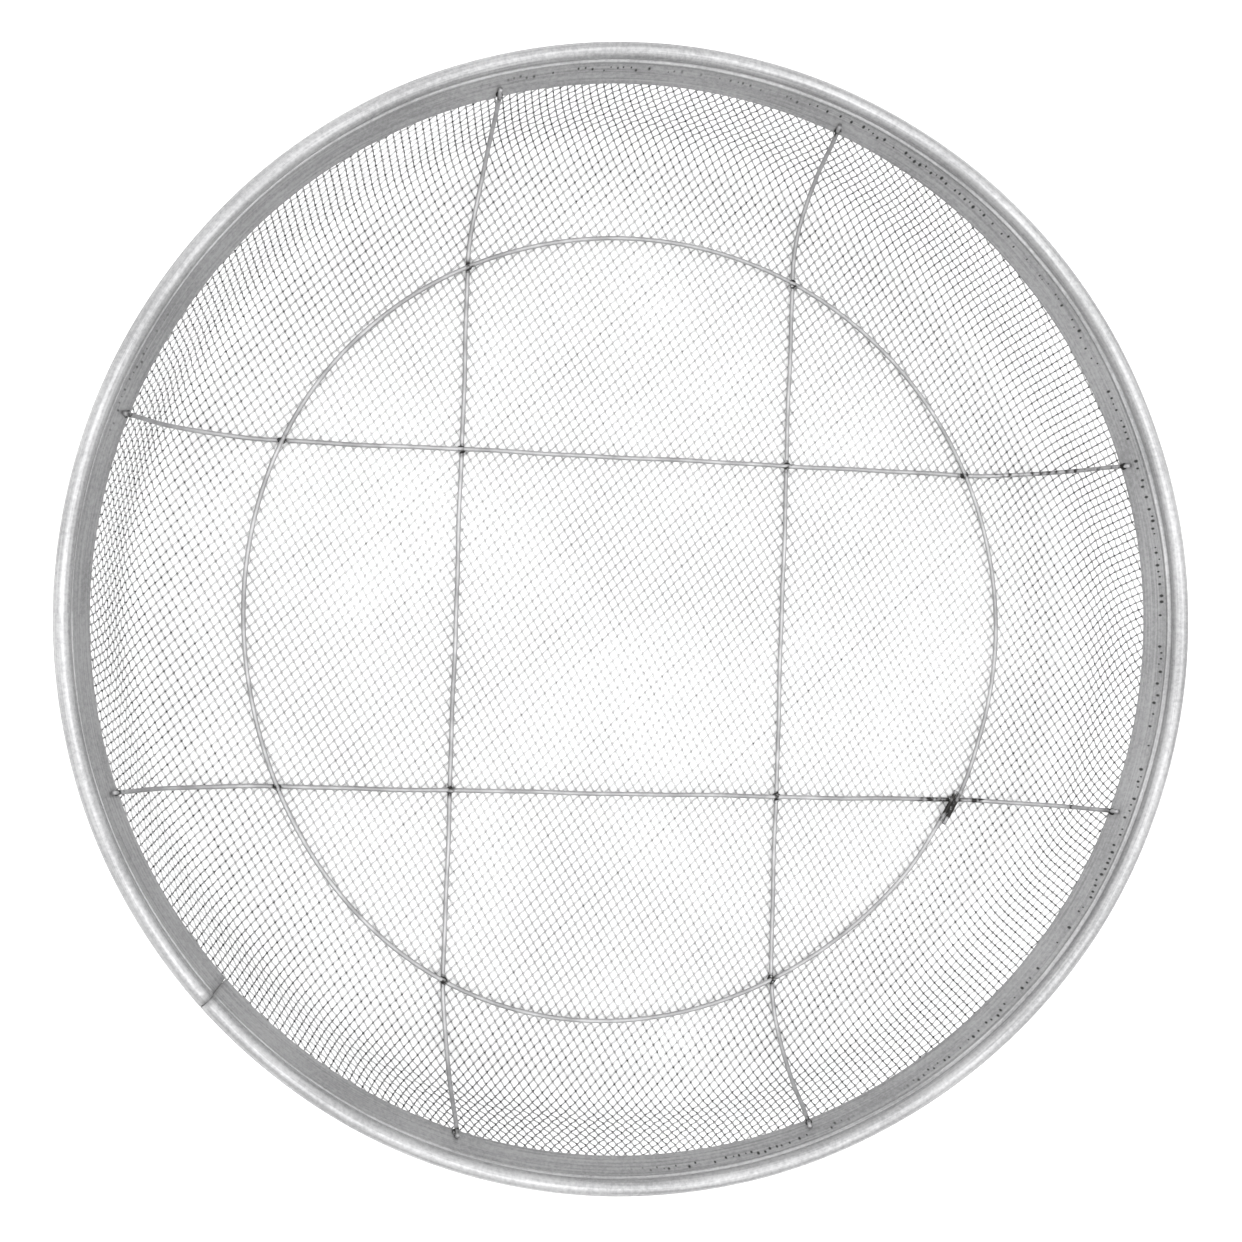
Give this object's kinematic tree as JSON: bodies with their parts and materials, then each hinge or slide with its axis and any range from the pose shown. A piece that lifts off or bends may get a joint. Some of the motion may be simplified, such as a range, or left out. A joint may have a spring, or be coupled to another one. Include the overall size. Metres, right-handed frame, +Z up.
{
  "type": "strainer basket",
  "caption": "Shallow round strainer bowl of woven wire cloth clamped in a rolled metal rim, stiffened inside by crossing rib wires and a support ring.",
  "frame": {"origin": "on the rim's axis, on the surface the basket's flat bottom rests on", "axes": "+Z up along the rim's axis, out of the bowl's mouth; +X and +Y level, with the rim's butt seam between -X and -Y"},
  "size_m": [0.35, 0.35, 0.0451],
  "materials": {
    "rim_steel": "satin rolled sheet with fine marks round the rim",
    "cloth_steel": "drawn wire, soft shine",
    "wire_steel": "drawn wire, soft shine",
    "weld_steel": "dull, heat darkened"
  },
  "bodies": {
    "root": {"mesh_cloth": "cloth_steel", "rib_east": "wire_steel", "rib_north": "wire_steel", "rib_south": "wire_steel", "rib_west": "wire_steel", "rim_band": "rim_steel", "rim_core_wire": "wire_steel", "support_ring": "wire_steel", "weld_end_rib_east_north": "weld_steel", "weld_end_rib_east_south": "weld_steel", "weld_end_rib_north_east": "weld_steel", "weld_end_rib_north_west": "weld_steel", "weld_end_rib_south_east": "weld_steel", "weld_end_rib_south_west": "weld_steel", "weld_end_rib_west_north": "weld_steel", "weld_end_rib_west_south": "weld_steel", "weld_rib_east_rib_north": "weld_steel", "weld_rib_east_rib_south": "weld_steel", "weld_rib_west_rib_north": "weld_steel", "weld_rib_west_rib_south": "weld_steel", "weld_ring_rib_east_north": "weld_steel", "weld_ring_rib_east_south": "weld_steel", "weld_ring_rib_north_east": "weld_steel", "weld_ring_rib_north_west": "weld_steel", "weld_ring_rib_south_east": "weld_steel", "weld_ring_rib_south_west": "weld_steel", "weld_ring_rib_west_north": "weld_steel", "weld_ring_rib_west_south": "weld_steel", "weld_ring_splice": "weld_steel"}
  },
  "joints": []
}
